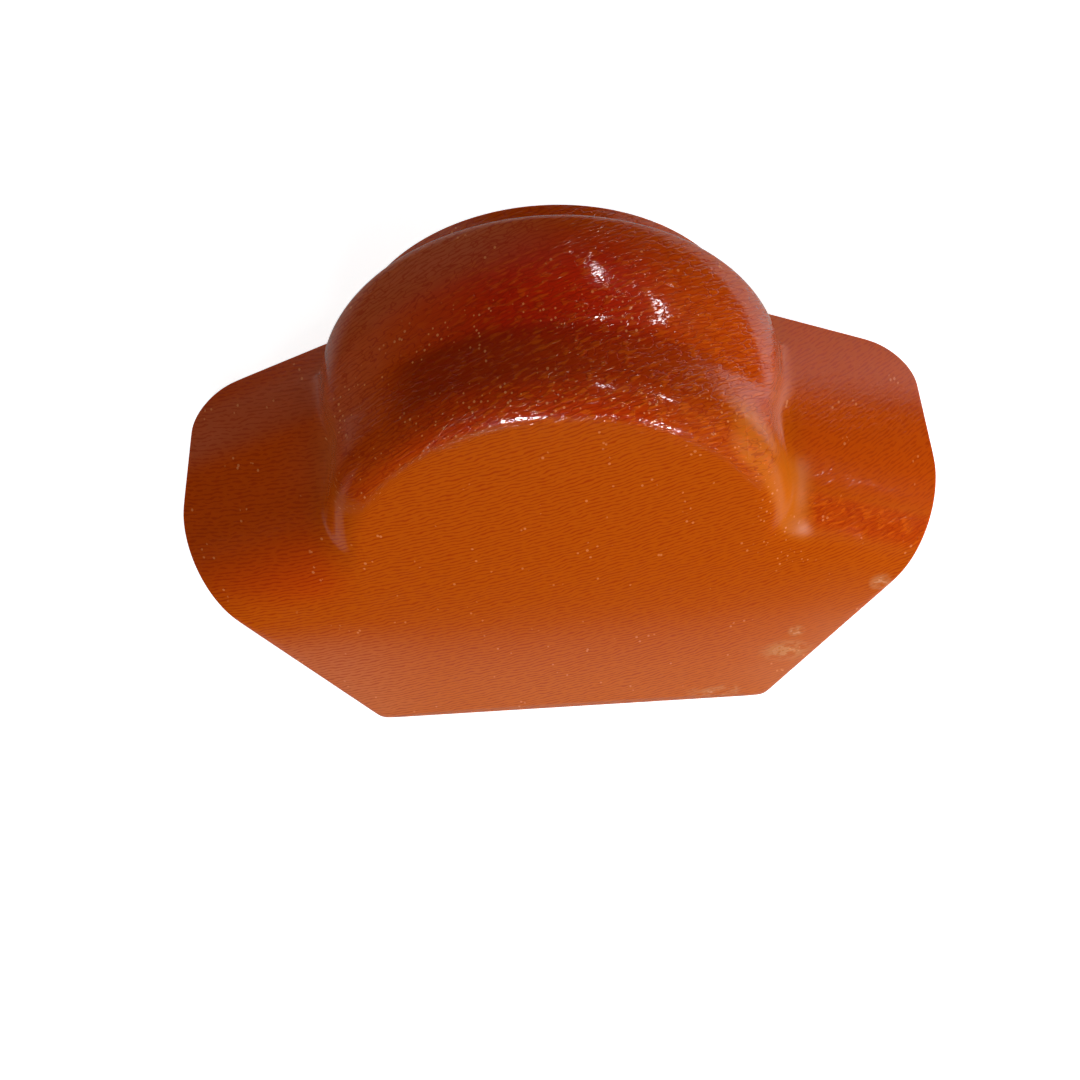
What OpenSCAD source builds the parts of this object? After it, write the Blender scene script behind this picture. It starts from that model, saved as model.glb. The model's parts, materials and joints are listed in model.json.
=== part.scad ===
// Ridge end cap: one moulded plastic sheet that closes the end of a tiled roof ridge.
// A half-round crown, made of a step, a raised band and a rear sleeve, stands on two
// sloping wings. Crown and wings roll over into a flat front plate that hangs down over
// the gable. The part stands unheld on the lower edge of the plate and the two rear
// corners of the wings.

/* [Sheet] */
// Thickness of the moulded sheet
sheet = 3; // [2:0.5:4]
// Width over the two wings
cap_width = 300; // [270:5:360]
// Depth from the front plate to the rear rim
cap_depth = 92; // [90:1:130]

/* [Crown] */
// Outside radius of the rear sleeve, which laps over the ridge tile
sleeve_radius = 81.5; // [70:0.5:90]
// How far the band stands out from the sleeve
band_rise = 11; // [8:0.5:15]
// Distance from the front plate to the foot of the band
band_start = 36; // [28:1:44]
// Distance from the front plate to the crest of the band
band_crest = 73; // [60:1:76]
// Inside radius of the bends between the band and the sleeve
band_bend = 2; // [1:0.5:3]
// Outside radius of the front step
step_radius = 91; // [82:0.5:96]
// How far the centre of the step lies below the centre of the band
step_sink = 13.5; // [4:0.5:18]
// Outside radius of the edge between the step and the front plate
face_round = 14; // [8:0.5:20]
// Radius of the hollow where the crown meets the wings
foot_fillet = 13; // [6:0.5:18]

/* [Wings] */
// Slope of the wings
wing_pitch = 25; // [15:0.5:32]
// Height where the two slopes would meet, above the centre of the band
wing_peak = 56; // [44:0.5:62]
// Outside radius of the roll from the wings to the front plate
wing_roll = 37.5; // [28:0.5:50]
// Radius of the wings' rear corners
wing_corner = 19; // [6:0.5:26]

/* [Front plate] */
// Drop from the centre of the band to the lower edge
plate_drop = 134; // [115:1:155]
// Length of the lower edge, before its corners are rounded
plate_foot = 170; // [130:1:200]
// Drop from the wing's side to the upper end of the side cut
side_cut_drop = 0.5; // [0:0.5:25]
// Radius of the lower corners
plate_corner = 6; // [3:0.5:12]

/* [Hidden] */

// steps of the mesh across one half of the section
WING_STEPS = 6;
FILLET_STEPS = 6;
CROWN_STEPS = 20;
half_steps = WING_STEPS + FILLET_STEPS + CROWN_STEPS;
// steps of the mesh from the front plate to the rear rim
ROLL_STEPS = 14;
BAND_STEPS = 8;
BEND_STEPS = 4;
SLEEVE_STEPS = 5;

slope = tan(wing_pitch);
half_width = cap_width / 2;

// fall of a round of radius r at a distance d from its crown
function round_fall(r, d) = d <= 0 ? 0 : d >= r ? r : r - sqrt(r * r - d * d);

// ---- the crown's outline along the ridge ----

band_radius = sleeve_radius + band_rise;
bend = band_bend + sheet;
// slope of the wall behind the band, just off upright so that the sheet leaves its mould,
// and gentler where the band is too low for it
wall_slope = min(72, acos(max(0, 1 - band_rise / (2 * bend))));
bend_run = bend * sin(wall_slope);
wall_run = (band_rise - 2 * bend * (1 - cos(wall_slope))) / tan(wall_slope);
sleeve_start = band_crest + 2 * bend_run + wall_run;

// share of the band in the crown at depth y: none on the step, all of it at the crest
function band_share(y) =
    y <= band_start ? 0
    : y >= band_crest ? 1
    : pow(1 - pow((band_crest - y) / (band_crest - band_start), 2), 1.1);

// fall behind the crest: round shoulder, leaning wall, round hollow, straight sleeve
function rear_fall(run) =
    run <= bend_run ? round_fall(bend, run)
    : run <= bend_run + wall_run ? bend * (1 - cos(wall_slope)) + (run - bend_run) * tan(wall_slope)
    : band_rise - round_fall(bend, sleeve_start - band_crest - run);

function crown_radius(y) =
    y > band_crest ? band_radius - rear_fall(y - band_crest)
    : step_radius + (band_radius - step_radius) * band_share(y) - round_fall(face_round, face_round - y);

function crown_centre(y) = -step_sink * (1 - band_share(y));

// ---- the wings and the side cuts ----

// height of a wing's slope at the ridge line, lower in the roll over to the front plate
function wing_top(y) = wing_peak - round_fall(wing_roll, wing_roll - y) / cos(wing_pitch);

cut_height = plate_drop + wing_peak - half_width * slope - side_cut_drop;
cut_slope = cut_height / (half_width - plate_foot / 2);

// where the wing ends: at the straight side, the round rear corner or the side cut
function wing_end(y) =
    min(
        half_width - round_fall(wing_corner, y - (cap_depth - wing_corner)),
        (wing_top(y) + plate_drop + cut_slope * plate_foot / 2) / (cut_slope + slope)
    );

// ---- one half of the section at depth y, [across, up], from the wing's end to the top ----

function half_section(y) =
    let (
        radius = crown_radius(y),
        centre = crown_centre(y),
        top = wing_top(y),
        reach = radius + foot_fillet,
        lean = asin(((top - centre) * cos(wing_pitch) + foot_fillet) / reach) - wing_pitch,
        start = max(0, lean),
        hub = [
            reach * cos(start),
            lean > 0 ? centre + reach * sin(start) : top + foot_fillet / cos(wing_pitch) - reach * slope
        ],
        foot = hub.x - foot_fillet * sin(wing_pitch),
        end = wing_end(y),
        leg = max(0, centre - hub.y),
        length = leg + radius * (90 - start) * PI / 180
    )
    [
        for (i = [0:WING_STEPS - 1]) let (x = end + (foot - end) * i / WING_STEPS) [x, top - x * slope],
        for (i = [0:FILLET_STEPS - 1])
            let (turn = 270 - wing_pitch - (90 - wing_pitch - start) * i / FILLET_STEPS)
            hub + foot_fillet * [cos(turn), sin(turn)],
        for (i = [0:CROWN_STEPS])
            let (run = length * i / CROWN_STEPS, turn = start + (run - leg) / radius * 180 / PI)
            run < leg ? [radius, hub.y + run] : [radius * cos(turn), centre + radius * sin(turn)]
    ];

// a half outline and its mirror image in one row
function both_halves(half) = concat(half, [for (i = [half_steps - 1:-1:0]) [-half[i].x, half[i].y]]);

depths = [
    for (i = [0:ROLL_STEPS - 1]) wing_roll * (1 - cos(90 * i / ROLL_STEPS)),
    for (i = [0:BAND_STEPS - 1]) wing_roll + (band_crest - wing_roll) * i / BAND_STEPS,
    for (i = [0:BEND_STEPS]) band_crest + bend * sin(wall_slope * i / BEND_STEPS),
    for (i = [BEND_STEPS:-1:0]) sleeve_start - bend * sin(wall_slope * i / BEND_STEPS),
    for (i = [1:SLEEVE_STEPS]) sleeve_start + (cap_depth - sleeve_start) * sin(90 * i / SLEEVE_STEPS)
];

outer = [for (y = depths) [for (p = both_halves(half_section(y))) [p.x, y, p.y]]];
last_row = len(depths) - 1;
last_point = 2 * half_steps;

// ---- the inner skin, one sheet thickness behind the outer one ----

function unit(v) = v / norm(v);

function outward(i, j) =
    i == 0 ? [0, -1, 0]
    : unit(cross(
        outer[min(i + 1, last_row)][j] - outer[i - 1][j],
        outer[i][min(j + 1, last_point)] - outer[i][max(j - 1, 0)]
    ));

inner = [
    for (i = [0:last_row]) [
        for (j = [0:last_point])
            let (p = outer[i][j] - sheet * outward(i, j))
            i == last_row ? [p.x, cap_depth, p.z] : p
    ]
];

// ---- the plate's lower outline, one point for each point of the front row ----

CORNER_STEPS = 4;
cut_steps = WING_STEPS + FILLET_STEPS - CORNER_STEPS;
cut_angle = atan(cut_slope);
corner_hub = [plate_foot / 2 - plate_corner * tan(cut_angle / 2), plate_corner - plate_drop];
front_leg = outer[0][WING_STEPS + FILLET_STEPS].x;

function corner_point(turn) = corner_hub + plate_corner * [sin(turn), -cos(turn)];

lower = both_halves([
    for (i = [0:cut_steps - 1])
        let (from = [outer[0][0].x, outer[0][0].z])
        from + (corner_point(cut_angle) - from) * i / cut_steps,
    for (i = [0:CORNER_STEPS - 1]) corner_point(cut_angle * (1 - i / CORNER_STEPS)),
    for (i = [0:CROWN_STEPS])
        [outer[0][WING_STEPS + FILLET_STEPS + i].x * min(1, corner_hub.x / front_leg), -plate_drop]
]);

// ---- points and faces of the closed sheet ----

row_length = last_point + 1;
rows = len(depths) + 1;
function at(side, i, j) = (side * rows + i) * row_length + j;

points = [
    for (p = lower) [p.x, 0, p.y],
    for (row = outer) for (p = row) p,
    for (p = lower) [p.x, sheet, p.y],
    for (row = inner) for (p = row) p
];

// the lower outline starts and ends on the front row, so the faces there are single
function skin_faces(side) = [
    for (i = [0:rows - 2]) for (j = [0:last_point - 1]) each
        i == 0 && j == 0 ? [[at(side, 1, 0), at(side, 1, 1), at(side, 0, 1)]]
        : i == 0 && j == last_point - 1 ? [[at(side, 1, j), at(side, 1, j + 1), at(side, 0, j)]]
        : [
            [at(side, i, j), at(side, i + 1, j), at(side, i + 1, j + 1)],
            [at(side, i, j), at(side, i + 1, j + 1), at(side, i, j + 1)]
        ]
];

// the rim of the outer skin: round the lower outline, one side, the rear and the other side
rim = concat(
    [at(0, 1, 0)],
    [for (j = [1:last_point - 1]) at(0, 0, j)],
    [for (i = [1:rows - 1]) at(0, i, last_point)],
    [for (j = [last_point - 1:-1:0]) at(0, rows - 1, j)],
    [for (i = [rows - 2:-1:2]) at(0, i, 0)]
);
to_inner = rows * row_length;

rim_faces = [
    for (k = [0:len(rim) - 1])
        let (a = rim[k], b = rim[(k + 1) % len(rim)]) each
        [[a, b, b + to_inner], [a, b + to_inner, a + to_inner]]
];

function flipped(list) = [for (f = list) [f[0], f[2], f[1]]];

faces = concat(flipped(skin_faces(0)), skin_faces(1), flipped(rim_faces));

// ---- how it rests: on the plate's lower inner edge and the wings' rear corners ----

rear_corner = [for (i = [last_row - SLEEVE_STEPS:last_row]) for (skin = [outer, inner]) skin[i][0]];
rest_lean = min([for (p = rear_corner) atan2(p.z + plate_drop, p.y - sheet)]);

stood = [
    for (p = points) [
        p.x,
        p.y * cos(rest_lean) + p.z * sin(rest_lean),
        p.z * cos(rest_lean) - p.y * sin(rest_lean)
    ]
];
floor_height = min([for (p = stood) p.z]);
middle = (min([for (p = stood) p.y]) + max([for (p = stood) p.y])) / 2;

module ridge_end_cap()
    color([0.78, 0.31, 0.08])
    translate([0, -middle, -floor_height])
    polyhedron(points = stood, faces = faces, convexity = 6);

ridge_end_cap();
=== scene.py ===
import json
import math

import bpy
from mathutils import Matrix, Vector

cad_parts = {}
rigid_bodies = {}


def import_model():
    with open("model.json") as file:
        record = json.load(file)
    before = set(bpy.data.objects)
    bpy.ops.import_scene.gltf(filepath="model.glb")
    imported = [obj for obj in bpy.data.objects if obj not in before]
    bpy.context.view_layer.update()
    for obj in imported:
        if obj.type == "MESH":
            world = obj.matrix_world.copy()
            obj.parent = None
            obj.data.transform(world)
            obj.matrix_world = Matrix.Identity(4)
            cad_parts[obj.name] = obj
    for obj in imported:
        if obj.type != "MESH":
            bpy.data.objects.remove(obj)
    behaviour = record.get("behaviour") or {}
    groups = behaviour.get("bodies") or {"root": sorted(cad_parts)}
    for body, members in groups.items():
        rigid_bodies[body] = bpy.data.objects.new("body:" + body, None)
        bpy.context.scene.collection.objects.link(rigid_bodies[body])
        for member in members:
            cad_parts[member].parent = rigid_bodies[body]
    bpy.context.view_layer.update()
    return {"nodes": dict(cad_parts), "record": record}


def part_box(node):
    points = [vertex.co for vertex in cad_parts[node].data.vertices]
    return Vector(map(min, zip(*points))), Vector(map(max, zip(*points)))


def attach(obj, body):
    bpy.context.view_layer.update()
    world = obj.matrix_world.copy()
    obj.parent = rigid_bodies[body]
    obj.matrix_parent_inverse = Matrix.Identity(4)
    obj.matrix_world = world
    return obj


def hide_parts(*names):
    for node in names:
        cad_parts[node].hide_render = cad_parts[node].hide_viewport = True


bl_info = {
    "name": "Ridge end cap",
    "version": (1, 0, 0),
    "blender": (4, 5, 0),
    "location": "3D View > Sidebar > Ridge end cap",
    "description": "Dresses a moulded ridge end cap and sets the stage it stands on",
    "category": "Object",
}

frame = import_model()

NODE = "ridge_end_cap"
PIECE = "moulded_sheet"
MM = 0.001

# a bend sharper than this is a trimmed edge, and not a part of the moulded skins
SHARP = math.radians(50)
# points of the built solid nearer than this are one point
WELD = 0.01 * MM
# two triangles become a quad if they bend no more than the first and are skewed no more than the second
QUAD_BEND, QUAD_SKEW = math.radians(20), math.radians(60)
EDGE_SEGMENTS = 2


# ---- the cap's own upright frame: x across, y back from the front plate, z up the plate ----


def plate_lean():
    """The angle by which the cap leans back from upright, read from the mount on the plate."""
    axis = next(m for m in frame["record"]["mounts"] if m["name"] == "plate_back")["axis"]
    return math.atan2(-axis[2], axis[1])


def upright_frame():
    """The matrix from a stored point to the upright frame: plate at y = 0, its lower edge at z = 0."""
    turn = Matrix.Rotation(plate_lean(), 4, "X")
    stood = [turn @ v.co for v in frame["nodes"][NODE].data.vertices]
    shift = Vector((0, -min(p.y for p in stood), -min(p.z for p in stood)))
    return Matrix.Translation(shift) @ turn


UPRIGHT = upright_frame()


# ---- values that a user would change ----


def colour_value(name, description, default):
    return bpy.props.FloatVectorProperty(
        name=name, description=description, subtype="COLOR", size=3, default=default
    )


def length_value(name, description, default):
    return bpy.props.FloatProperty(name=name, description=description, default=default, unit="LENGTH")


class CapSheet(bpy.types.PropertyGroup):
    edge_round: length_value("Edge round", "Round of the trimmed edge", 0.4 * MM)
    smoothing: bpy.props.IntProperty(
        name="Smoothing", description="Times that the moulded surface is divided", default=1, min=0, max=1
    )


class CapFinish(bpy.types.PropertyGroup):
    resin: colour_value("Resin", "Colour of the resin", (0.55, 0.09, 0.002))
    # a deeper red, painted in as shade over the crown, the roll and the wings; on the inner face it is only
    # a cloudy tone
    deep: colour_value("Drawn resin", "Colour where the sheet is drawn thin", (0.53, 0.018, 0.001))
    # painted light: lighter and paler towards the lower edge, where the plate's gloss shows the floor's
    # light
    pale: colour_value("Lower resin", "Colour towards the lower edge", (0.62, 0.125, 0.008))
    foot: colour_value("Foot", "Colour down the smooth right foot of the crown", (0.62, 0.13, 0.002))
    # painted shade for the recess between the step and the band, also laid faintly on the crest
    recess: colour_value("Recess", "Colour between the step and the band", (0.24, 0.018, 0.0005))
    # painted light: the ends of the wings are made lighter
    outer: colour_value("Wing ends", "Colour towards the ends of the wings", (1.0, 0.13, 0.003))
    # a painted highlight: bright orange on the short ridges over the crown
    ridge: colour_value("Ridges", "Colour on the short ridges over the crown", (0.80, 0.14, 0.004))
    # painted shade: the dark red laid in the ripples' valleys and winding grooves
    valley: colour_value("Valleys", "Colour in the ripples' valleys", (0.3, 0.008, 0.001))
    # a pinkish painted reflection of the floor's light, on the left
    sheen: colour_value("Haze", "Colour of the thin haze on the left", (0.62, 0.24, 0.14))
    # a dull pink painted reflection of the floor's light at the lower right of the plate
    pink_reflection: colour_value("Bloom", "Colour of the dull clouding on the right", (0.64, 0.18, 0.06))
    dust: colour_value("Dust", "Colour of dry dust", (0.72, 0.36, 0.14))
    # painted glints: the colour of fine bright dots over the crown
    glint_dot_colour: colour_value("Grit", "Colour of the fine grains caught in the skin", (0.98, 0.40, 0.14))
    gloss: bpy.props.FloatProperty(
        name="Roughness", description="Roughness of the moulded face", default=0.07, min=0, max=1
    )
    ripple_pitch: length_value("Ripple pitch", "Distance between the ripples", 1.42 * MM)
    ripple_depth: length_value("Ripple depth", "Depth of the ripples", 0.14 * MM)
    ripple_turn: bpy.props.FloatProperty(
        name="Ripple turn",
        description="Turn of the ripples on the plate",
        default=math.radians(14.5),
        unit="ROTATION",
    )


class CapStage(bpy.types.PropertyGroup):
    floor_colour: colour_value("Floor", "Colour of the floor", (0.9, 0.9, 0.9))
    floor_glow: bpy.props.FloatProperty(
        name="Floor brightness",
        description="Light added to the floor where the camera sees it",
        default=0.75,
    )
    focal_length: bpy.props.FloatProperty(
        name="Focal length", description="Lens of the camera, in millimetres", default=53.86
    )


# ---- shader helpers ----


class Value:
    """A socket of a material, on which arithmetic adds Math nodes."""

    def __init__(self, nodes, socket):
        self.nodes, self.socket = nodes, socket

    def math(self, operation, *others, flip=False):
        operands = (*others, self) if flip else (self, *others)
        return self.nodes.node("ShaderNodeMath", {"operation": operation}, dict(enumerate(operands)))

    def most(self, *others):
        """The largest of this value and the others."""
        largest = self
        for other in others:
            largest = largest.math("MAXIMUM", other)
        return largest

    def outputs(self):
        """All outputs of this value's node."""
        return [Value(self.nodes, socket) for socket in self.socket.node.outputs]

    def __add__(self, other):
        return self.math("ADD", other)

    __radd__ = __add__

    def __mul__(self, other):
        return self.math("MULTIPLY", other)

    __rmul__ = __mul__

    def __sub__(self, other):
        return self.math("SUBTRACT", other)

    def __rsub__(self, other):
        return self.math("SUBTRACT", other, flip=True)

    def __truediv__(self, other):
        return self.math("DIVIDE", other)


class Nodes:
    """The nodes of a material or of the world."""

    def __init__(self, tree):
        self.tree = tree

    def plug(self, socket, value):
        if isinstance(value, Value):
            self.tree.links.new(value.socket, socket)
        elif socket.type == "RGBA" and len(value) == 3:
            socket.default_value = (*value, 1)
        else:
            socket.default_value = value

    def node(self, kind, settings=None, sockets=None, output=0):
        """A node of that kind: its settings first, then the values or links of its sockets."""
        made = self.tree.nodes.new(kind)
        for key, setting in (settings or {}).items():
            setattr(made, key, setting)
        for key, value in (sockets or {}).items():
            self.plug(made.inputs[key], value)
        return Value(self, made.outputs[output])

    def vector(self, x, y, z):
        return self.node("ShaderNodeCombineXYZ", None, {0: x, 1: y, 2: z})

    def parts(self, vector):
        """The x, y and z of a vector."""
        return self.node("ShaderNodeSeparateXYZ", None, {0: vector}).outputs()

    def place(self):
        """The object's own coordinates."""
        return self.node("ShaderNodeTexCoord", output="Object")

    def upright(self):
        """Object coordinates turned to the cap's upright frame."""
        sockets = {
            "Vector": self.place(),
            "Location": tuple(UPRIGHT.to_translation()),
            "Rotation": tuple(UPRIGHT.to_euler()),
        }
        return self.node("ShaderNodeMapping", {"vector_type": "POINT"}, sockets)

    def ramp(self, value, low, high):
        """0 at low, 1 at high, smooth between."""
        sockets = {"Value": value, "From Min": low, "From Max": high}
        return self.node("ShaderNodeMapRange", {"interpolation_type": "SMOOTHSTEP"}, sockets)

    def zone(self, zone, **along):
        """The zone's share inside all its spans and 0 outside; each axis has its value."""
        share = zone.get("share", 1.0)
        for axis, value in along.items():
            for span in zone[axis]:
                share = self.ramp(value, *span) * share
        return share

    def noise(self, vector, scale, detail, roughness):
        """Noise from 0 to 1 over a place; the scale is in waves per metre."""
        sockets = {"Vector": vector, "Scale": scale, "Detail": detail, "Roughness": roughness}
        return self.node("ShaderNodeTexNoise", None, sockets)

    def grain(self, along, across, seed, fine_along, fine_across, detail=1.0, roughness=0.5):
        """Noise over two lengths, centred on 0; each seed gives another pattern."""
        shift_along, shift_across = (seed * step for step in SEED_STEP)
        place = self.vector(along * fine_along + shift_along, across * fine_across + shift_across, 0.0)
        sockets = {"Vector": place, "Scale": 1.0, "Detail": detail, "Roughness": roughness}
        return self.node("ShaderNodeTexNoise", {"noise_dimensions": "2D"}, sockets) - 0.5

    def mix(self, share, a, b):
        """Colour a, with b mixed in by share."""
        return self.node("ShaderNodeMix", {"data_type": "RGBA"}, {0: share, 6: a, 7: b}, output=2)

    def mix_values(self, share, a, b):
        """Value a, with b mixed in by share."""
        return self.node("ShaderNodeMix", None, {0: share, 2: a, 3: b})


class Finish(Nodes):
    """A material under construction, with its Principled shader."""

    def __init__(self, name):
        self.material = bpy.data.materials.new(name)
        self.material.use_nodes = True
        super().__init__(self.material.node_tree)
        self.shader = self.tree.nodes["Principled BSDF"]

    def set(self, **sockets):
        for name, value in sockets.items():
            self.plug(self.shader.inputs[name.replace("_", " ")], value)


# ---- zones of the face ----

# how far apart the patterns of two seeds lie, along and across the ripples
SEED_STEP = (17.3, 5.7)

# Places are in metres in the upright frame. Each span says where its zone is nothing and where it is
# full, and a zone is full only where all its spans are. Its share, if it isn't 1, is how much it then is.
CROWN = {"y": [(0.0001, 0.0009)], "z": [(0.150, 0.162)]}
WING = {"y": [(0.001, 0.012)]}
ROLL = {"x": [(0.088, 0.100)], "y": [(0.003, 0.006), (0.0145, 0.0105)]}
# where the sheet is drawn smooth
RIGHT_FOOT = {"x": [(0.060, 0.070), (0.100, 0.092)], "y": [(0.0006, 0.003), (0.026, 0.016)]}
LEFT_FOOT = {"x": [(-0.072, -0.078), (-0.094, -0.088)], "y": [(0.003, 0.008), (0.05, 0.03)], "share": 0.3}
LEFT_BAND = {"x": [(-0.024, -0.034), (-0.070, -0.062)], "y": [(0.036, 0.041), (0.060, 0.054)]}
# where the relief over the crown is fainter
LEFT_CREST = {"x": [(0.03, 0.0)], "y": [(0.048, 0.058)], "share": 0.7}
LEFT_HAUNCH = {"x": [(-0.050, -0.068)], "share": 0.55}
# where the short ridges show a painted highlight
RIDGE_HIGHLIGHTS_CROWN = {"x": [(-0.055, 0.0)], "share": 0.75}
RIDGE_HIGHLIGHTS_BELOW_CREST = {"y": [(0.066, 0.054)]}
RIDGE_HIGHLIGHTS_ROUNDING = {"y": [(0.016, 0.009)], "share": 0.16}
# where painted glints show as fine bright dots
GLINT_DOTS_ROUNDING = {"y": [(0.020, 0.009)]}
GLINT_DOTS_BAND = {"x": [(0.05, 0.03)], "y": [(0.026, 0.034), (0.052, 0.042)]}
GLINT_DOTS_TOE = {"x": [(0.072, 0.080), (0.102, 0.094)], "y": [(0.006, 0.002)], "z": [(0.095, 0.105)]}
# where a deeper red is painted in as shade: over the crown, the roll and the wings
RED_SHADE_CROWN = {"y": [(0.0001, 0.0014)], "z": [(0.155, 0.165)]}
RED_SHADE_MIDDLE = {"x": [(-0.045, -0.01)], "y": [(0.026, 0.034)], "share": 0.28}
RED_SHADE_MIDDLE_END = {"y": [(0.066, 0.056)]}
RED_SHADE_LEFT_WING = {"x": [(-0.078, -0.1)], "z": [(0.09, 0.113)], "share": 0.4}
RED_SHADE_RIGHT_WING = {"x": [(0.085, 0.100)], "y": [(0.010, 0.018)], "share": 0.28}
# where less of that painted red shade goes
LESS_RIGHT = {"x": [(0.020, 0.068)], "share": 0.65}
LESS_LEFT = {"x": [(-0.030, -0.070)], "share": 0.45}
LESS_REAR = {"y": [(0.064, 0.073)], "share": 0.5}
LESS_LEFT_CREST = {"x": [(0.0, -0.03)], "y": [(0.052, 0.060)], "share": 0.35}
# other tones: painted light towards the lower edge and at the wing ends, painted shade in the recess and
# faintly on the crest, and the smooth foot's own tone
LOWER_PLATE_LIGHT = {"z": [(0.08, 0.0)], "share": 0.8}
FOOT_TONE = {"x": [(0.03, 0.06)]}
# painted shade in the recess between the step and the band
RECESS = {"y": [(0.006, 0.016), (0.0385, 0.033)]}
RECESS_ENDS = {"x": [(0.07, 0.05), (-0.064, -0.046)], "z": [(0.17, 0.185)]}
RECESS_LEFT = {"x": [(0.02, -0.04)], "share": 0.3}
CREST = {"y": [(0.050, 0.060)], "share": 0.25}
# painted light at the ends of the wings
WING_ENDS_LIGHT = {"x": [(0.085, 0.105)], "y": [(0.006, 0.02)], "share": 0.1}
# painted reflections, which stand in for the floor's light in the gloss, and dust
SHEEN_CREST = {"x": [(0.02, -0.03)], "y": [(0.046, 0.066), (0.088, 0.078)]}
SHEEN_HAUNCH = {"x": [(-0.055, -0.075)], "y": [(0.012, 0.02)], "z": [(0.135, 0.160)], "share": 0.7}
SHEEN_PLATE = {"x": [(-0.05, -0.10)], "y": [(0.003, 0.001)], "z": [(0.085, 0.055)], "share": 0.7}
# painted reflection of the floor's light at the lower right of the plate
PINK_REFLECTION = {"x": [(0.055, 0.125)], "y": [(0.002, 0.0)], "z": [(0.105, 0.03)]}
# each patch of dust: its middle across and up the plate, and its half width and half height
DUST_PATCHES = (
    (0.0930, 0.0370, 0.0105, 0.0075),
    (0.0640, 0.0060, 0.0120, 0.0050),
    (0.1270, 0.0865, 0.0040, 0.0050),
    (0.0958, 0.0530, 0.0030, 0.0035),
)

# each pattern of grain: its seed, how fine it is along and across the ripples, its detail and roughness
SWAY_GRAIN = (1, 0.12, 0.2, 2.0, 0.6)
STROKE_GRAIN = (2, 0.45, 1.3)
GROOVE_GRAIN = (3, 0.20, 0.52, 1.5)
RIDGE_GRAIN = (4, 0.30, 0.95)
SPREAD_GRAIN = (5, 0.14, 0.14)
# values of a pattern at which the thing it makes is nothing and full
VALLEY_SPAN, GROOVE_SPAN, RIDGE_SPAN = (-0.15, -1.05), (0.04, 0.0), (0.02, 0.16)
THICK_SPAN, SPREAD_SPAN, GLINT_DOT_SPAN = (0.19, 0.23), (-0.04, 0.06), (0.10, 0.045)
# the painted glint dots: how many stand along a length, how their spread sizes them, their share away from
# the zones
GLINT_DOTS_SCALE, GLINT_DOTS_SIZED, GLINT_DOTS_ELSEWHERE = 0.42, 0.3, 0.7

# the fine ripples: how far noise sways them, and how it breaks them into strokes, also on the wings
SWAY, BREAK, BREAK_ON_WING = 2.0, 1.9, 2.5
# how the drawing bends the ripples: over the crown, elsewhere, and to one side over the crown
BEND_CROWN, BEND_ELSEWHERE, BEND_ASIDE = 2.6, -0.6, -0.07
# heights, as shares of the ripple depth
VALLEY_HEIGHT, WAVE_HEIGHT, RIDGE_HEIGHT, GROOVE_HEIGHT = -0.05, 0.01, 1.0, -0.6
# how strong the coarse relief is on the roll and on the wings, next to the crown
RELIEF_ROLL, RELIEF_WING = 0.6, 0.22
# how much of the valleys and of the whole relief is lost where the sheet is drawn smooth
SMOOTH_VALLEYS, SMOOTH_RELIEF = 0.8, 0.7
# how much fainter the valleys' painted shade is on the crown and on the wings
VALLEY_SHADE_LESS_CROWN, VALLEY_SHADE_LESS_WING = 0.2, 0.35
# shares away from the zones that raise them: of the ridges' painted highlights, of the painted red shade
# and of the recess's painted shade
RIDGE_HIGHLIGHTS_ELSEWHERE, RED_SHADE_ELSEWHERE, RECESS_ELSEWHERE = 0.25, 0.72, 0.4
# how much of the painted red shade goes on the roll
RED_SHADE_ROLL = 0.4
# the parts of the clouds' shift that move the edges of the painted red shade on the crown and on the left
# wing, of the recess's painted shade and of the painted pink reflection
RED_SHADE_CLOUD, RED_SHADE_WING_CLOUD, RECESS_CLOUD, PINK_REFLECTION_CLOUD = 0.03, 0.5, 0.2, 2

# noise in the resin: its scale per metre, detail and roughness
CLOUDS, SPECKLE = (14, 2, 0.55), (110, 3, 0.65)
BACK_CLOUDS, EDGE_SPECKLE = (14, 4, 0.6), (400, 3, 0.6)
# how far the clouds shift the edges of the tones
CLOUD_REACH = 0.03
# how much of each colour is mixed in where its zone is full
RIDGE_HIGHLIGHT_MIX, VALLEY_SHADE_MIX, SHEEN_MIX, PINK_REFLECTION_MIX, DUST_MIX, GLINT_DOT_MIX = 0.28, 0.52, 0.2, 0.8, 0.52, 0.5
BACK_MIX, EDGE_MIX = 0.5, 0.5
# how much of the painted sheen the valleys lack
SHEEN_LESS_VALLEYS = 0.6
# dust: the parts of clouds and speckle in its noise, how ragged that makes a patch, how the patch fades
DUST_CLOUDS, DUST_SPECKLE, DUST_RAGGED = 0.35, 0.65, 9
DUST_FADE, DUST_GAPS = (1.8, -0.2), (0.36, 0.56)
# what is added to the roughness by the clouds, by dust and where the sheet is smooth
ROUGH_CLOUDS, ROUGH_DUST, ROUGH_SMOOTH = 0.04, 0.3, 0.2
# the inner face: where its clouds show, its roughness and what they add to it; the edge's roughness
BACK_SPAN, BACK_ROUGH, BACK_ROUGH_CLOUDS, EDGE_ROUGH = (0.3, 0.7), 0.42, 0.15, 0.6
INDEX_OF_RESIN = 1.46


# ---- finishes ----


def smooth_share(f, x, y):
    """How smooth the sheet is drawn, from 0 to 1."""
    right_foot = f.zone(RIGHT_FOOT, x=x, y=y)
    return right_foot.most(f.zone(LEFT_BAND, x=x, y=y), f.zone(LEFT_FOOT, x=x, y=y))


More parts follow.
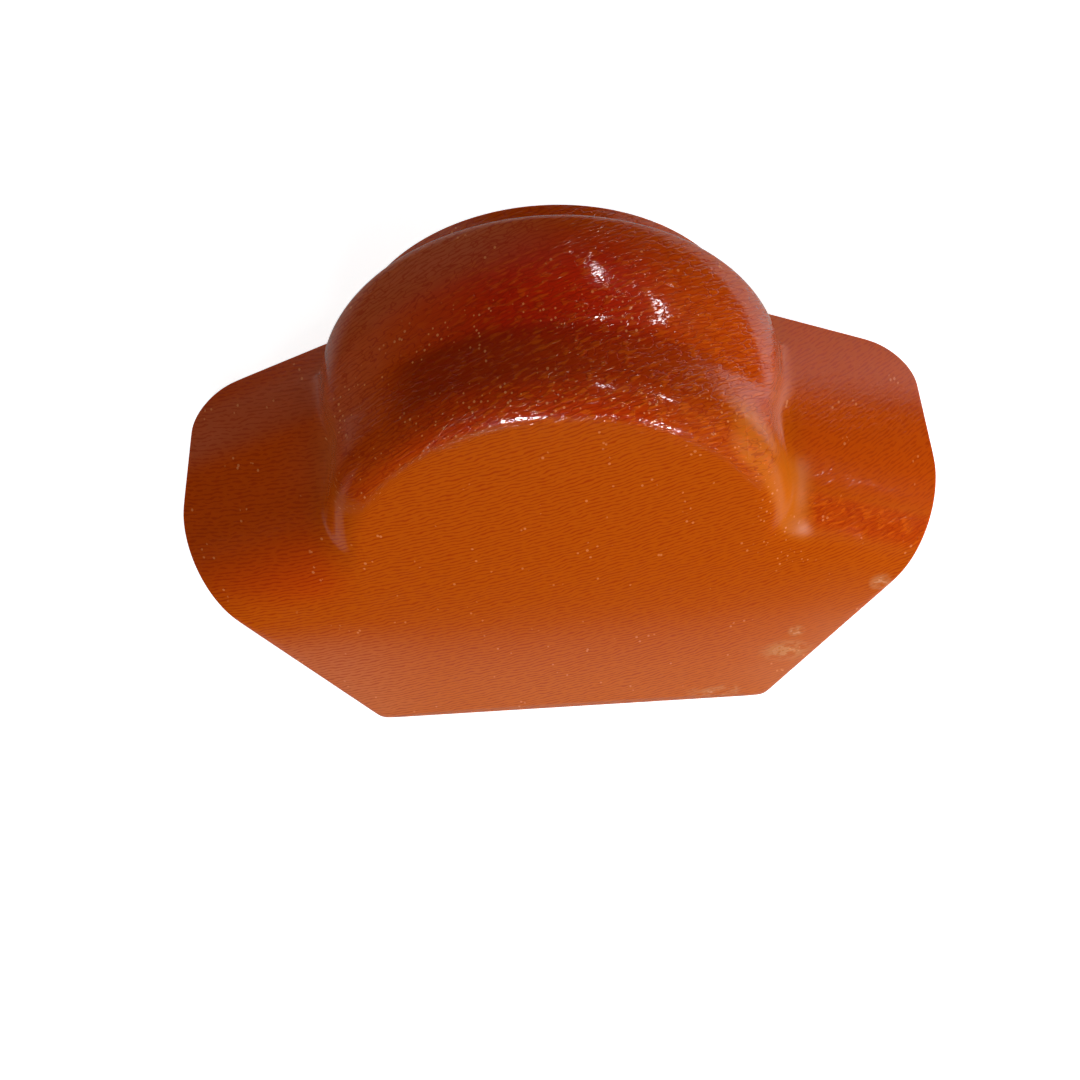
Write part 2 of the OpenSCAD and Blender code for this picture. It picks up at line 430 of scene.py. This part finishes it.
def ripples(f, values):
    """The relief pressed in the sheet: its height, and the shares of the painted shade in its valleys, of
    the painted highlights on its ridges and of the painted glint dots in it.
    """
    x, y, z = f.parts(f.upright())
    crown = f.zone(CROWN, y=y, z=z)
    roll = f.zone(ROLL, x=x, y=y)
    wing = f.zone(WING, y=y) * (1 - crown)
    smooth = smooth_share(f, x, y)
    # the sheet was flat, leaning midway between plate and wings, when the ripples were pressed in it
    down = (y + z) * math.sqrt(0.5)
    slope, pitch = math.tan(values.ripple_turn), values.ripple_pitch / math.cos(values.ripple_turn)
    along = (x + down * slope) / pitch
    # the drawing bends the ripples over the crown, and a little along the wings
    bend = x * x * (crown * BEND_CROWN + BEND_ELSEWHERE) + x * crown * BEND_ASIDE
    across = (down - x * slope + bend) / pitch
    sway = f.grain(along, across, *SWAY_GRAIN)
    wave = ((across + sway * SWAY) * (2 * math.pi)).math("SINE")
    stroke = f.grain(along, across, *STROKE_GRAIN) * (BREAK + wing * BREAK_ON_WING)
    valley = f.ramp(wave + stroke, *VALLEY_SPAN) * (1 - smooth * SMOOTH_VALLEYS)
    # over the crown they open out into winding grooves and short ridges, coarser on the wings
    groove = f.ramp(f.grain(along, across, *GROOVE_GRAIN).math("ABSOLUTE"), *GROOVE_SPAN)
    ridge = f.ramp(f.grain(along, across, *RIDGE_GRAIN), *RIDGE_SPAN)
    drawn = crown * (1 - f.zone(LEFT_CREST, x=x, y=y)) * (1 - f.zone(LEFT_HAUNCH, x=x))
    fine = valley * VALLEY_HEIGHT + wave * WAVE_HEIGHT
    coarse = ridge * RIDGE_HEIGHT + groove * GROOVE_HEIGHT
    height = fine + coarse * drawn.most(roll * RELIEF_ROLL, wing * RELIEF_WING)
    # the painted highlights on the ridges and the painted shade in the valleys follow the relief
    ridge_highlights_crown = crown * (f.zone(RIDGE_HIGHLIGHTS_CROWN, x=x) + RIDGE_HIGHLIGHTS_ELSEWHERE) * f.zone(RIDGE_HIGHLIGHTS_BELOW_CREST, y=y)
    ridges = ridge * ridge_highlights_crown.most(roll)
    # painted shade in the valleys and the winding grooves
    valley = valley * (1 - crown * VALLEY_SHADE_LESS_CROWN) * (1 - wing * VALLEY_SHADE_LESS_WING)
    valleys = (groove * crown.most(roll)).most(valley)
    glint_dots = painted_glint_dots(f, x, y, z, along, across, crown)
    return height * (1 - smooth * SMOOTH_RELIEF), valleys, ridges, glint_dots


def painted_glint_dots(f, x, y, z, along, across, crown):
    """Painted glints as fine bright dots in loose groups: over the crown's front edges, at its right toe
    and a few elsewhere.
    """
    spread = f.grain(along, across, *SPREAD_GRAIN)
    strips = f.zone(GLINT_DOTS_ROUNDING, y=y).most(f.zone(GLINT_DOTS_BAND, x=x, y=y))
    elsewhere = f.ramp(spread, *THICK_SPAN) * GLINT_DOTS_ELSEWHERE
    thick = (crown * strips).most(f.zone(GLINT_DOTS_TOE, x=x, y=y, z=z), elsewhere)
    sockets = {"Vector": f.vector(along, across, 0), "Scale": GLINT_DOTS_SCALE}
    middles = f.node("ShaderNodeTexVoronoi", {"voronoi_dimensions": "2D"}, sockets)
    return f.ramp(middles - spread * GLINT_DOTS_SIZED, *GLINT_DOT_SPAN) * thick * f.ramp(spread, *SPREAD_SPAN)


def red_shade_share(f, x, y, z, cloud):
    """How much deeper red is painted in as shade, from 0 to 1: over the crown and towards the left, and
    faintly on the roll and the right wing.
    """
    crown = f.zone(RED_SHADE_CROWN, y=y + cloud * RED_SHADE_CLOUD, z=z)
    middle = f.zone(RED_SHADE_MIDDLE, x=x + cloud, y=y + cloud) * f.zone(RED_SHADE_MIDDLE_END, y=y)
    crown = crown * (middle + RED_SHADE_ELSEWHERE)
    crown = crown * (1 - f.zone(LESS_RIGHT, x=x + cloud)) * (1 - f.zone(LESS_REAR, y=y))
    crown = crown * (1 - f.zone(LESS_LEFT, x=x + cloud)) * (1 - f.zone(LESS_LEFT_CREST, x=x, y=y))
    shift = cloud * RED_SHADE_WING_CLOUD
    left_wing = f.zone(RED_SHADE_LEFT_WING, x=x + shift, z=z + shift)
    return crown.most(left_wing, f.zone(RED_SHADE_RIGHT_WING, x=x, y=y), f.zone(ROLL, x=x, y=y) * RED_SHADE_ROLL)


def recess_shade_share(f, x, y, z, cloud):
    """How much painted shade darkens the recess between the step and the band, from 0 to 1, and faintly the
    crest.
    """
    recess = f.zone(RECESS, y=y + cloud * RECESS_CLOUD) * f.zone(RECESS_ENDS, x=x, z=z)
    return (recess * (f.zone(RECESS_LEFT, x=x) + RECESS_ELSEWHERE)).most(f.zone(CREST, y=y))


def sheen_share(f, x, y, z, cloud):
    """A painted sheen along the left of the crest, down its haunch and over the lower left of the plate: a
    painted reflection of the floor's light.
    """
    haunch = f.zone(SHEEN_HAUNCH, x=x, y=y, z=z)
    plate = f.zone(SHEEN_PLATE, x=x, y=y, z=z + cloud)
    return f.zone(SHEEN_CREST, x=x, y=y).most(haunch, plate)


def dust_share(f, x, z, tone):
    """Dry dust wiped into a few patches at the lower right of the plate."""
    patches = []
    for middle, high, wide, tall in DUST_PATCHES:
        across, up = (x - middle) / wide, (z - high) / tall
        ragged = across * across + up * up + (tone - 0.5) * DUST_RAGGED
        patches.append(f.ramp(ragged, *DUST_FADE))
    return patches[0].most(*patches[1:])


def moulded_face(values):
    """The glossy rippled outer face."""
    f = Finish("glossy_rippled_resin")
    place = f.upright()
    x, y, z = f.parts(place)
    height, valleys, ridges, glint_dots = ripples(f, values)
    tone = f.noise(place, *CLOUDS)
    fine = f.noise(place, *SPECKLE)
    cloud = (tone - 0.5) * CLOUD_REACH
    smooth = smooth_share(f, x, y)
    # the resin's tones, with painted light towards the lower edge and at the wing ends, and painted shade
    # as a deeper red over the crown and in the dark recess
    # painted light towards the lower edge of the plate
    colour = f.mix(f.zone(LOWER_PLATE_LIGHT, z=z + cloud), values.resin, values.pale)
    # painted shade: a deeper red over the crown, towards the left and on the roll
    colour = f.mix(red_shade_share(f, x, y, z, cloud), colour, values.deep)
    colour = f.mix(smooth * f.zone(FOOT_TONE, x=x), colour, values.foot)
    # painted shade in the recess, and faintly on the crest
    colour = f.mix(recess_shade_share(f, x, y, z, cloud), colour, values.recess)
    # painted light at the wing ends
    colour = f.mix(f.zone(WING_ENDS_LIGHT, x=x.math("ABSOLUTE"), y=y), colour, values.outer)
    # painted highlights on the ridges and painted shade in the valleys
    colour = f.mix(ridges * (f.zone(RIDGE_HIGHLIGHTS_ROUNDING, y=y) + RIDGE_HIGHLIGHT_MIX), colour, values.ridge)
    colour = f.mix(valleys * VALLEY_SHADE_MIX, colour, values.valley)
    # painted reflections of the floor's light, dust, and painted glint dots
    sheen = sheen_share(f, x, y, z, cloud) * (tone + 0.5) * (1 - valleys * SHEEN_LESS_VALLEYS)
    colour = f.mix(sheen * SHEEN_MIX, colour, values.sheen)
    # a cloudy painted reflection of the floor's light at the lower right of the plate
    shift = cloud * PINK_REFLECTION_CLOUD
    pink_reflection = f.zone(PINK_REFLECTION, x=x + shift, y=y, z=z + shift)
    colour = f.mix(pink_reflection * tone * PINK_REFLECTION_MIX, colour, values.pink_reflection)
    dust_noise = tone * DUST_CLOUDS + fine * DUST_SPECKLE
    dust = dust_share(f, x, z, dust_noise) * f.ramp(fine, *DUST_GAPS)
    colour = f.mix(dust * DUST_MIX, colour, values.dust)
    # painted glints as fine bright dots
    colour = f.mix(glint_dots * GLINT_DOT_MIX, colour, values.glint_dot_colour)
    # the clouds' noise is centred on a half, so half their part is taken off again
    rough = tone * ROUGH_CLOUDS + (values.gloss - ROUGH_CLOUDS / 2) + dust * ROUGH_DUST
    rough = rough + smooth * ROUGH_SMOOTH
    relief = {"Strength": 1.0, "Distance": values.ripple_depth, "Height": height}
    f.set(Base_Color=colour, Roughness=rough, IOR=INDEX_OF_RESIN)
    f.set(Normal=f.node("ShaderNodeBump", None, relief))
    return f.material


def plain_back(values):
    """The plain inner face."""
    f = Finish("plain_resin_back")
    tone = f.noise(f.upright(), *BACK_CLOUDS)
    colour = f.mix(f.ramp(tone, *BACK_SPAN) * BACK_MIX, values.resin, values.deep)
    f.set(Base_Color=colour, Roughness=tone * BACK_ROUGH_CLOUDS + BACK_ROUGH)
    return f.material


def trimmed_edge(values):
    """The sawn edge."""
    f = Finish("trimmed_resin_edge")
    tone = f.noise(f.upright(), *EDGE_SPECKLE)
    f.set(Base_Color=f.mix(tone * EDGE_MIX, values.resin, values.dust), Roughness=EDGE_ROUGH)
    return f.material


# ---- pieces ----

# the slots of the sheet's materials, and the way each skin faces in the upright frame
EDGE_SLOT, FACE_SLOT, BACK_SLOT = range(3)
SKINS = ((FACE_SLOT, Vector((0, -1, 0))), (BACK_SLOT, Vector((0, 1, 0))))


def only(obj):
    """Selects one object and makes it the active one."""
    bpy.ops.object.select_all(action="DESELECT")
    obj.select_set(True)
    bpy.context.view_layer.objects.active = obj


def select_trimmed_edges():
    bpy.ops.mesh.select_all(action="DESELECT")
    bpy.ops.mesh.select_mode(type="EDGE")
    bpy.ops.mesh.edges_select_sharp(sharpness=SHARP)


def assign_skin(sheet, slot, facing):
    """Gives a slot to all faces within the trimmed edges, from the face that points most that way."""
    turn = UPRIGHT.to_3x3()
    bpy.ops.mesh.select_all(action="DESELECT")
    bpy.ops.object.mode_set(mode="OBJECT")
    seed = max(sheet.data.polygons, key=lambda face: ((turn @ face.normal) @ facing, face.area))
    seed.select = True
    bpy.ops.object.mode_set(mode="EDIT")
    bpy.ops.mesh.select_linked(delimit={"SHARP"})
    sheet.active_material_index = slot
    bpy.ops.object.material_slot_assign()


class RIDGECAP_OT_sheet(bpy.types.Operator):
    """Makes the moulded sheet from the built solid and gives it its finish"""

    bl_idname = "ridgecap.sheet"
    bl_label = "Moulded sheet"

    def execute(self, context):
        sizes, values = context.scene.cap_sheet, context.scene.cap_finish
        sheet = bpy.data.objects.new(PIECE, frame["nodes"][NODE].data.copy())
        sheet.data.name = PIECE
        context.scene.collection.objects.link(sheet)
        only(sheet)
        sheet.data.materials.clear()
        for material in (trimmed_edge(values), moulded_face(values), plain_back(values)):
            sheet.data.materials.append(material)
        bpy.ops.object.mode_set(mode="EDIT")
        bpy.ops.mesh.select_mode(type="FACE")
        bpy.ops.mesh.select_all(action="SELECT")
        bpy.ops.mesh.remove_doubles(threshold=WELD)
        bpy.ops.mesh.tris_convert_to_quads(face_threshold=QUAD_BEND, shape_threshold=QUAD_SKEW)
        select_trimmed_edges()
        bpy.ops.mesh.mark_sharp()
        bpy.ops.mesh.select_mode(type="FACE")
        for slot, facing in SKINS:
            assign_skin(sheet, slot, facing)
        select_trimmed_edges()
        bpy.ops.mesh.bevel(
            offset=sizes.edge_round, segments=EDGE_SEGMENTS, affect="EDGES", clamp_overlap=True
        )
        bpy.ops.object.mode_set(mode="OBJECT")
        if sizes.smoothing:
            divide = sheet.modifiers.new("divide", "SUBSURF")
            divide.levels = divide.render_levels = sizes.smoothing
            bpy.ops.object.modifier_apply(modifier=divide.name)
        bpy.ops.object.shade_smooth_by_angle(angle=SHARP)
        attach(sheet, "root")
        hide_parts(NODE)
        return {"FINISHED"}


# ---- stage ----

FLOOR_SIZE = 6
# places on the floor, in metres: where the cap's gloss shows it beside and behind, and in front
FLOOR_BESIDE = {"x": [(0.215, 0.17), (-0.17, -0.09)], "y": [(0.30, 0.22)]}
FLOOR_BEFORE = {"y": [(-0.95, -0.35)], "share": 0.45}
FLOOR_FRONT = {"y": [(0.0, -0.08)]}
# the square of the distance from the cap at which the floor starts to whiten, and at which it is white
FLOOR_AWAY = (0.2, 1.0)
FLOOR_ROUGH = 0.9
# light of the room, and the part of it that the cap's gloss shows
ROOM_LIGHT, ROOM_IN_GLOSS = 0.04, 0.012

# each lamp: name, direction it stands in, height angle, distance, width, height, power, only for glints
LAMPS = (
    ("soft_front", -90, 20, 1.3, 0.6, 0.6, 7.74, False),
    ("soft_front_right", -47, 25, 1.3, 0.6, 0.6, 2.9, False),
    ("soft_high", -102, 53, 1.32, 0.4, 0.4, 1.5, False),
    ("soft_back", 90, 30, 1.3, 0.6, 0.6, 0.9, False),
    ("soft_back_right", 50, 32, 1.3, 0.5, 0.5, 1.8, False),
    ("soft_left", 180, 30, 1.3, 0.6, 0.6, 3.3, False),
    ("near_right", -10, 25, 0.55, 0.25, 0.25, 0.9, False),
    ("near_back_right", 20, 25, 0.55, 0.25, 0.25, 0.6, False),
    ("glint_front_left", -102, 52, 1.32, 0.2, 0.16, 8.0, True),
    ("glint_front_right", -57, 41, 1.02, 0.1, 0.07, 2.0, True),
    ("glint_right", 33.5, 29.5, 0.68, 0.10, 0.05, 0.4, True),
    ("glint_back_high", 61.5, 38, 1.39, 0.13, 0.07, 1.4, True),
    ("glint_back_low", 64, 32.8, 1.39, 0.12, 0.07, 0.6, True),
)

# the camera's pitch, yaw and roll in degrees, and its shift across, down and back in millimetres
CAMERA_TURN = (54.8656, -1.9288, -5.2317)
CAMERA_SHIFT = (7.728, -1.6151, 612.317)
# height of the band's centre above the lower edge of the plate
BAND_CENTRE = 134 * MM
SENSOR_WIDTH = 36


def hang_lamp(name, around, height, distance, wide, tall, power, glint):
    """A rounded soft lamp that faces the middle of the cap."""
    low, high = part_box(NODE)
    middle = Vector((0, 0, (low.z + high.z) / 2))
    around, height = math.radians(around), math.radians(height)
    level = math.cos(height)
    away = Vector((level * math.cos(around), level * math.sin(around), math.sin(height)))
    bpy.ops.object.light_add(type="AREA", location=middle + away * distance)
    lamp = bpy.context.object
    lamp.name = name
    lamp.rotation_euler = (-away).to_track_quat("-Z", "Y").to_euler()
    lamp.data.shape = "ELLIPSE"
    lamp.data.size, lamp.data.size_y, lamp.data.energy = wide, tall, power
    lamp.visible_glossy, lamp.visible_diffuse = glint, not glint


def camera_matrix():
    """The camera's place, worked out in the cap's upright frame with the crown's centre at z = 0."""
    pitch, yaw, roll = (math.radians(angle) for angle in CAMERA_TURN)
    shift = Vector(CAMERA_SHIFT) * MM
    right = Vector((1, 0, 0))
    ahead = Vector((0, math.cos(pitch), -math.sin(pitch)))
    down = Vector((0, -math.sin(pitch), -math.cos(pitch)))
    back = Matrix.Rotation(yaw, 3, "Z").transposed()
    across = back @ (math.cos(roll) * right - math.sin(roll) * down)
    below = back @ (math.sin(roll) * right + math.cos(roll) * down)
    place = back @ (right * -shift.x + down * -shift.y + ahead * -shift.z)
    turned = Matrix((across, -below, -(back @ ahead))).transposed()
    return UPRIGHT.inverted() @ Matrix.Translation(place + Vector((0, 0, BAND_CENTRE))) @ turned.to_4x4()


def pale_floor(values):
    """A pale floor that the camera sees near white, and that darkens far off in what the cap reflects."""
    f = Finish("pale_floor")
    seen = f.node("ShaderNodeLightPath", output="Is Camera Ray")
    reflected = f.node("ShaderNodeLightPath", output="Is Glossy Ray")
    x, y, _ = f.parts(f.place())
    # the cap shows only the floor close beside and behind it, and a dimmer stretch before it
    beside, before = f.zone(FLOOR_BESIDE, x=x, y=y), f.zone(FLOOR_BEFORE, y=y)
    near = f.mix_values(f.zone(FLOOR_FRONT, y=y), beside, before)
    colour = f.mix((1 - near) * reflected, values.floor_colour, (0.0, 0.0, 0.0))
    away = f.ramp(x * x + y * y, *FLOOR_AWAY)
    glow = seen * (away * (1 - values.floor_glow) + values.floor_glow)
    f.set(Base_Color=colour, Roughness=FLOOR_ROUGH, Specular_IOR_Level=0.0)
    f.set(Emission_Color=f.mix(glow, (0.0, 0.0, 0.0), (1.0, 1.0, 1.0)), Emission_Strength=1.0)
    return f.material


def pale_room(scene):
    """White where the camera looks past the floor, dim elsewhere."""
    world = bpy.data.worlds.new("pale_room")
    scene.world = world
    world.use_nodes = True
    room = Nodes(world.node_tree)
    seen = room.node("ShaderNodeLightPath", output="Is Camera Ray")
    reflected = room.node("ShaderNodeLightPath", output="Is Glossy Ray")
    light = room.mix_values(reflected, ROOM_LIGHT, ROOM_IN_GLOSS)
    background = room.tree.nodes["Background"]
    room.plug(background.inputs["Color"], (1, 1, 1))
    room.plug(background.inputs["Strength"], room.mix_values(seen, light, 1.0))


class RIDGECAP_OT_stage(bpy.types.Operator):
    """Lays the floor, hangs the lamps and sets the camera"""

    bl_idname = "ridgecap.stage"
    bl_label = "Stage"

    def execute(self, context):
        values = context.scene.cap_stage
        bpy.ops.object.select_all(action="DESELECT")
        bpy.ops.mesh.primitive_plane_add(size=FLOOR_SIZE, location=(0, 0, 0))
        floor = context.object
        floor.name = "floor"
        floor.data.materials.append(pale_floor(values))
        for lamp in LAMPS:
            hang_lamp(*lamp)
        pale_room(context.scene)
        camera = bpy.data.cameras.new("camera")
        camera.sensor_width, camera.lens = SENSOR_WIDTH, values.focal_length
        holder = bpy.data.objects.new("camera", camera)
        context.scene.collection.objects.link(holder)
        holder.matrix_world = camera_matrix()
        context.scene.camera = holder
        context.scene.view_settings.view_transform = "Standard"
        return {"FINISHED"}


class RIDGECAP_PT_panel(bpy.types.Panel):
    """Lists the values and the steps"""

    bl_idname = "RIDGECAP_PT_panel"
    bl_label = "Ridge end cap"
    bl_space_type = "VIEW_3D"
    bl_region_type = "UI"
    bl_category = "Ridge end cap"

    def draw(self, context):
        for group in GROUPS:
            values = getattr(context.scene, group)
            for name in values.__annotations__:
                self.layout.prop(values, name)
        for step in STEPS:
            self.layout.operator(step.bl_idname)


STEPS = (RIDGECAP_OT_sheet, RIDGECAP_OT_stage)
GROUPS = {"cap_sheet": CapSheet, "cap_finish": CapFinish, "cap_stage": CapStage}


def register():
    for kind in (*GROUPS.values(), *STEPS, RIDGECAP_PT_panel):
        bpy.utils.register_class(kind)
    for name, kind in GROUPS.items():
        setattr(bpy.types.Scene, name, bpy.props.PointerProperty(type=kind))


def unregister():
    for name in GROUPS:
        delattr(bpy.types.Scene, name)
    for kind in reversed((*GROUPS.values(), *STEPS, RIDGECAP_PT_panel)):
        bpy.utils.unregister_class(kind)


def main():
    register()
    bpy.ops.ridgecap.sheet()
    bpy.ops.ridgecap.stage()


if __name__ == "__main__":
    main()
